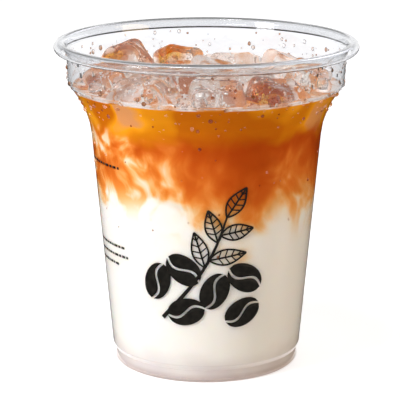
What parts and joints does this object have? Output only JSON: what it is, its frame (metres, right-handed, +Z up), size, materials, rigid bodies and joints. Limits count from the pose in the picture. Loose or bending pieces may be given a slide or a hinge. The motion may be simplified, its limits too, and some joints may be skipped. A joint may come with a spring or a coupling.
{
  "type": "iced coffee in a clear cup",
  "caption": "Milky iced coffee with floating ice cubes in a clear tapered plastic cup with a flared shoulder, straight neck, rolled rim and dark bean and leaf print.",
  "frame": {"origin": "middle of the foot ring, on the table", "axes": "+Z up along the cup's axis; the print faces -Y, and +X is to the right of someone who looks at the print"},
  "size_m": [0.098, 0.098, 0.106],
  "materials": {
    "clear_pet": "clear, gloss",
    "milk": "smooth liquid",
    "coffee": "smooth liquid",
    "ice": "clear, wet"
  },
  "bodies": {
    "root": {"cup": "clear_pet", "milk": "milk", "coffee": "coffee", "ice_left": "ice", "ice_front_left": "ice", "ice_front": "ice", "ice_front_right": "ice", "ice_right": "ice", "ice_back_right": "ice", "ice_back": "ice", "ice_back_mid": "ice", "ice_back_left": "ice", "ice_middle_left": "ice", "ice_middle_right": "ice", "ice_middle_back": "ice"}
  },
  "joints": []
}
